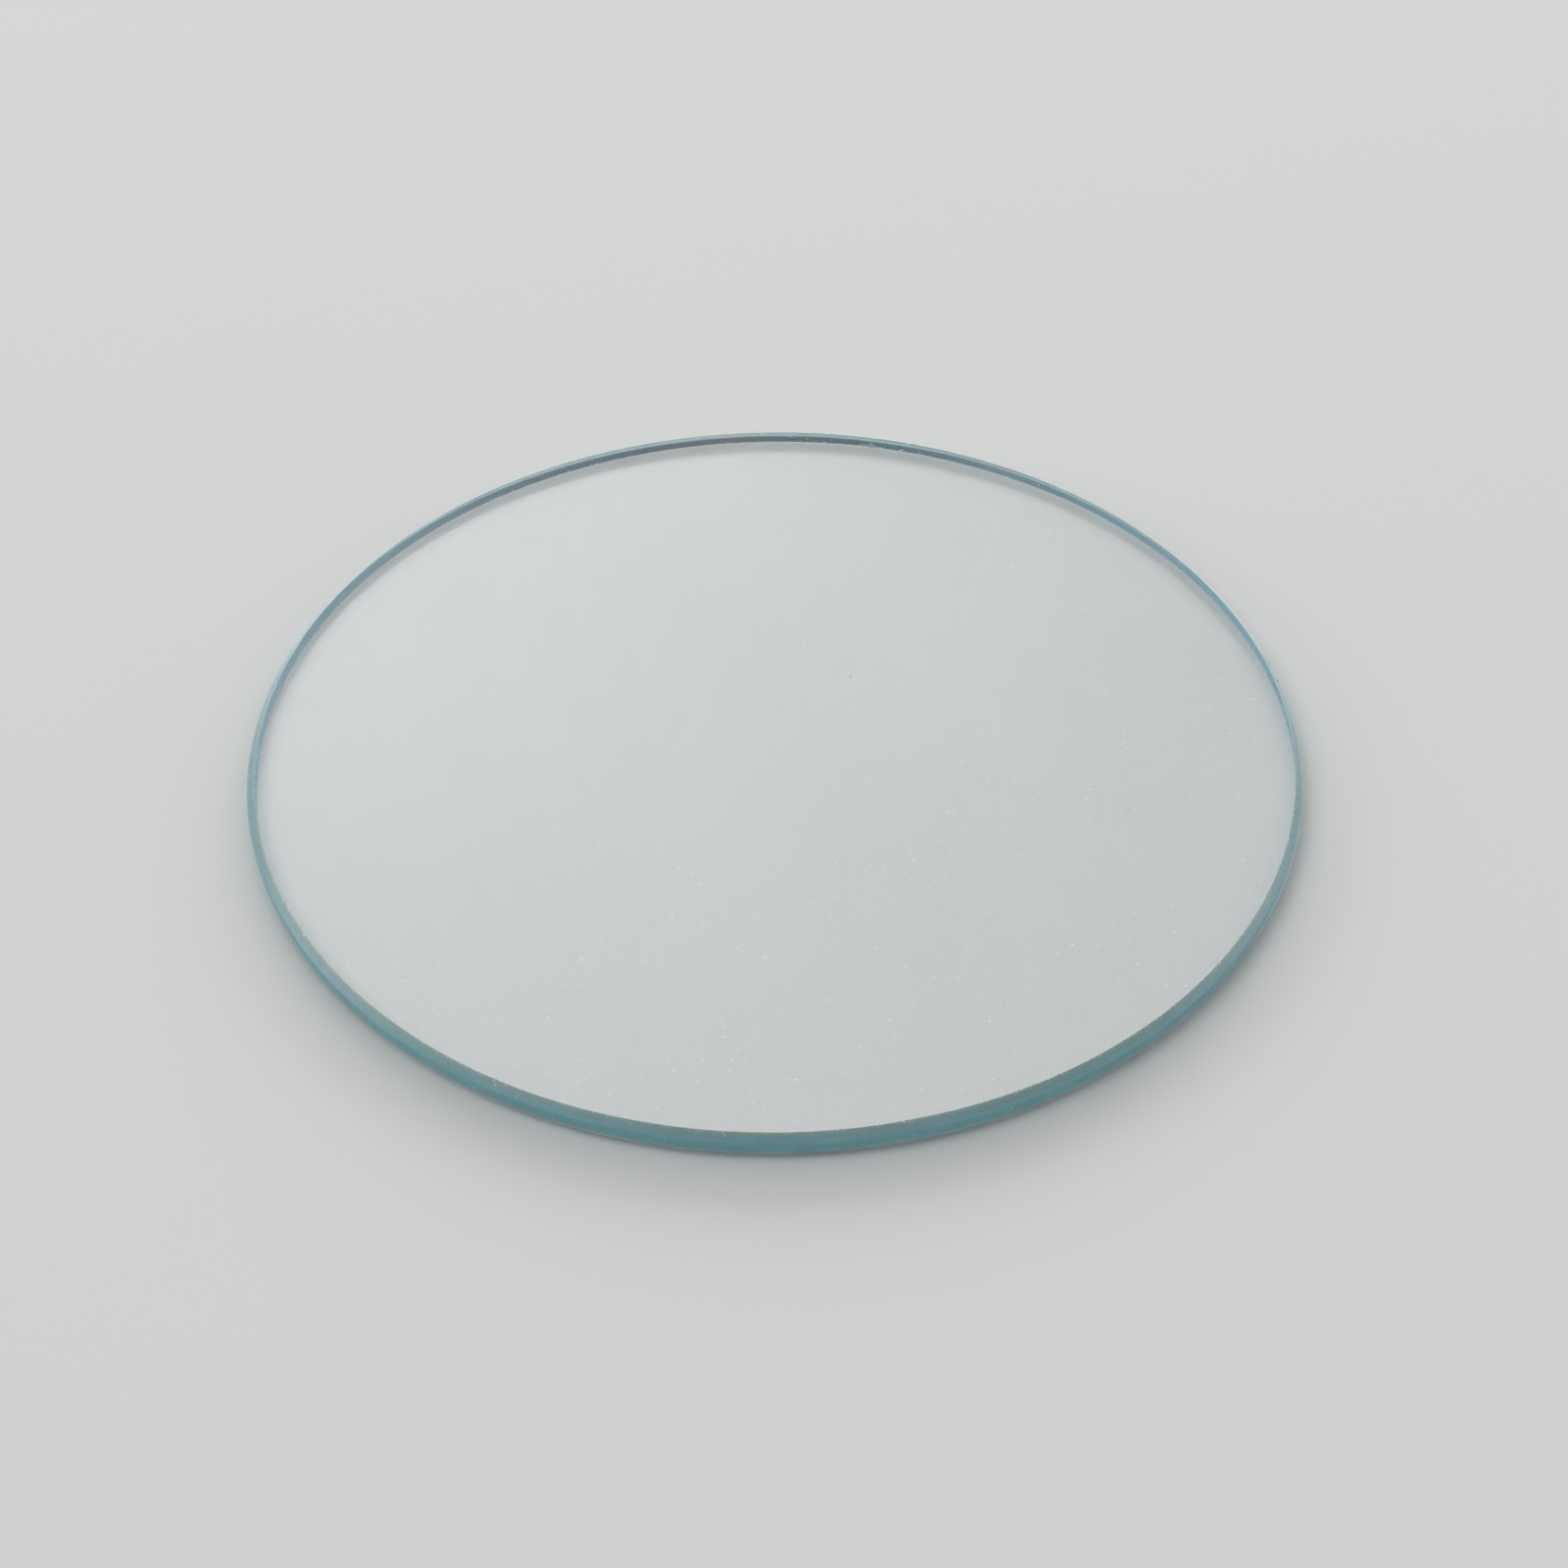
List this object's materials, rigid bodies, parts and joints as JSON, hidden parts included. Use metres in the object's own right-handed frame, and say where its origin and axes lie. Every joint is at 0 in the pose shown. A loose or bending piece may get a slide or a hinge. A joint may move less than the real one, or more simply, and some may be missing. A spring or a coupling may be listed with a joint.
{
  "type": "watch crystal",
  "caption": "Flat round watch crystal: a thin clear mineral glass disc with polished faces and a finely ground, arrised edge, which covers a wristwatch dial.",
  "frame": {"origin": "centre of the inner face, the polished face that the crystal lies on and that seats on the case ledge", "axes": "+Z along the crystal's own axis, out through the outer face; X and Y lie in the inner face, and the disc looks the same whichever way they point"},
  "size_m": [0.038, 0.038, 0.001],
  "materials": {
    "mineral_glass": "polished faces, finely ground matte edge"
  },
  "bodies": {
    "root": {"crystal": "mineral_glass"}
  },
  "joints": []
}
